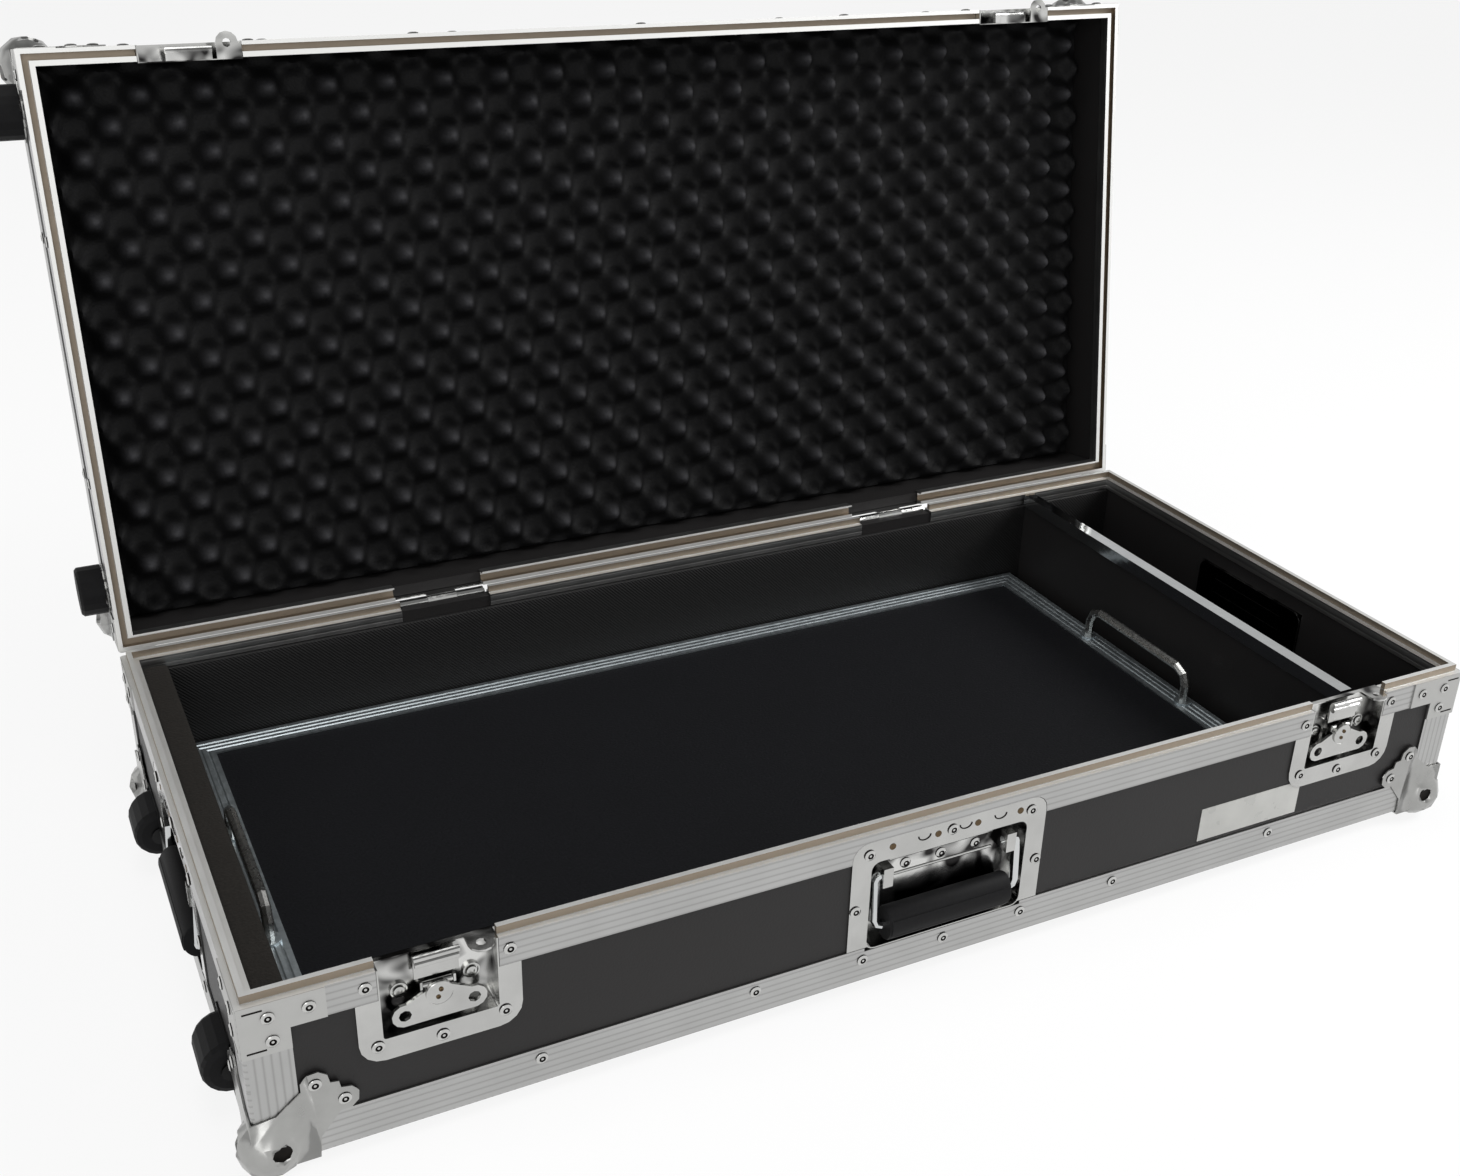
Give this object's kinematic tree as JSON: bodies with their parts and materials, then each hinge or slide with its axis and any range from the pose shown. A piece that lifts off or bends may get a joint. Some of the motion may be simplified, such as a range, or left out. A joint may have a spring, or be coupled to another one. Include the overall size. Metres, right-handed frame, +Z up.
{
  "type": "guitar pedal case",
  "caption": "Shallow plywood flight case with aluminium edges, ball corners, recessed butterfly latches and handles, a foam-lined hinged lid and a lift-out pedal board.",
  "frame": {"origin": "the middle of the floor panel's underside", "axes": "X runs along the case's length, left end at negative X; Y runs from the front, where the latches are, to the rear; Z is up"},
  "size_m": [1.0326, 0.641, 0.6102],
  "materials": {
    "panel_laminate": "fine-grained laminate",
    "extrusion": "ribbed satin",
    "corner_steel": "satin plated",
    "plated_steel": "satin plated",
    "bright_wire": "bright",
    "housing_steel": "dark satin",
    "rubber": "ribbed matte",
    "carpet": "short looped pile",
    "foam": "open-cell foam"
  },
  "bodies": {
    "base": {"base_floor": "panel_laminate", "base_frame": "extrusion", "base_rim_front": "extrusion", "base_rim_rear": "extrusion", "base_panel_front": "panel_laminate", "base_panel_right": "panel_laminate", "base_panel_rear": "panel_laminate", "base_panel_left": "panel_laminate", "base_ball_front_left": "corner_steel", "base_ball_front_right": "corner_steel", "base_ball_rear_left": "corner_steel", "base_ball_rear_right": "corner_steel", "latch_dish_left": "plated_steel", "latch_dish_right": "plated_steel", "handle_dish_front": "plated_steel", "handle_dish_left": "plated_steel", "handle_dish_right": "plated_steel", "wheel_housing_front": "housing_steel", "wheel_housing_rear": "housing_steel", "left_pad": "foam", "lining_front": "foam", "lining_rear": "foam", "floor_pad": "foam", "divider": "panel_laminate", "divider_cap": "extrusion", "hinge_base_leaf_left": "plated_steel", "hinge_base_leaf_right": "plated_steel"},
    "lid": {"lid_panel_top": "panel_laminate", "lid_panel_front": "panel_laminate", "lid_panel_right": "panel_laminate", "lid_panel_rear": "panel_laminate", "lid_panel_left": "panel_laminate", "lid_frame": "extrusion", "lid_rim_front": "extrusion", "lid_rim_rear": "extrusion", "lid_ball_front_left": "corner_steel", "lid_ball_front_right": "corner_steel", "lid_ball_rear_left": "corner_steel", "lid_ball_rear_right": "corner_steel", "lid_latch_dish_left": "plated_steel", "lid_latch_dish_right": "plated_steel", "hinge_lid_leaf_left": "plated_steel", "hinge_lid_leaf_right": "plated_steel", "lid_foam": "foam", "rubber_foot_front": "rubber", "rubber_foot_rear": "rubber"},
    "butterfly_left": {"latch_butterfly_left": "plated_steel"},
    "claw_left": {"latch_claw_left": "plated_steel"},
    "butterfly_right": {"latch_butterfly_right": "plated_steel"},
    "claw_right": {"latch_claw_right": "plated_steel"},
    "handle_front": {"handle_wire_front": "bright_wire", "handle_grip_front": "rubber"},
    "handle_left": {"handle_wire_left": "bright_wire", "handle_grip_left": "rubber"},
    "handle_right": {"handle_wire_right": "bright_wire", "handle_grip_right": "rubber"},
    "wheel_front": {"wheel_front": "rubber"},
    "wheel_rear": {"wheel_rear": "rubber"},
    "board": {"pedal_board": "carpet", "board_trim": "extrusion"}
  },
  "joints": [
    {"name": "lid_swing", "type": "hinge", "parent": "base", "child": "lid", "pos_m": [0, 0.238, 0.1245], "axis": [-1, 0, 0], "range_deg": [-98.8, 0]},
    {"name": "butterfly_flip_left", "type": "hinge", "parent": "base", "child": "butterfly_left", "pos_m": [-0.3775, -0.2275, 0.102], "axis": [-1, 0, 0], "range_deg": [0, 90]},
    {"name": "claw_lift_left", "type": "slide", "parent": "base", "child": "claw_left", "axis": [0, 0, 1], "range_m": [0, 0.004]},
    {"name": "butterfly_flip_right", "type": "hinge", "parent": "base", "child": "butterfly_right", "pos_m": [0.3775, -0.2275, 0.102], "axis": [-1, 0, 0], "range_deg": [0, 90]},
    {"name": "claw_lift_right", "type": "slide", "parent": "base", "child": "claw_right", "axis": [0, 0, 1], "range_m": [0, 0.004]},
    {"name": "handle_swing_front", "type": "hinge", "parent": "base", "child": "handle_front", "pos_m": [0, -0.23, 0.0865], "axis": [-1, 0, 0], "range_deg": [0, 90], "stiffness_Nm_per_rad": 0.2},
    {"name": "handle_swing_left", "type": "hinge", "parent": "base", "child": "handle_left", "pos_m": [-0.496, 0, 0.0865], "axis": [0, 1, 0], "range_deg": [0, 90], "stiffness_Nm_per_rad": 0.2},
    {"name": "handle_swing_right", "type": "hinge", "parent": "base", "child": "handle_right", "pos_m": [0.496, 0, 0.0865], "axis": [0, -1, 0], "range_deg": [0, 90], "stiffness_Nm_per_rad": 0.2},
    {"name": "wheel_turn_front", "type": "hinge", "parent": "base", "child": "wheel_front", "pos_m": [-0.499, -0.1435, 0.023], "axis": [0, 1, 0], "continuous": true},
    {"name": "wheel_turn_rear", "type": "hinge", "parent": "base", "child": "wheel_rear", "pos_m": [-0.499, 0.1435, 0.023], "axis": [0, 1, 0], "continuous": true},
    {"name": "board_lift", "type": "slide", "parent": "base", "child": "board", "axis": [0, 0, 1], "range_m": [0, 0.105]}
  ]
}
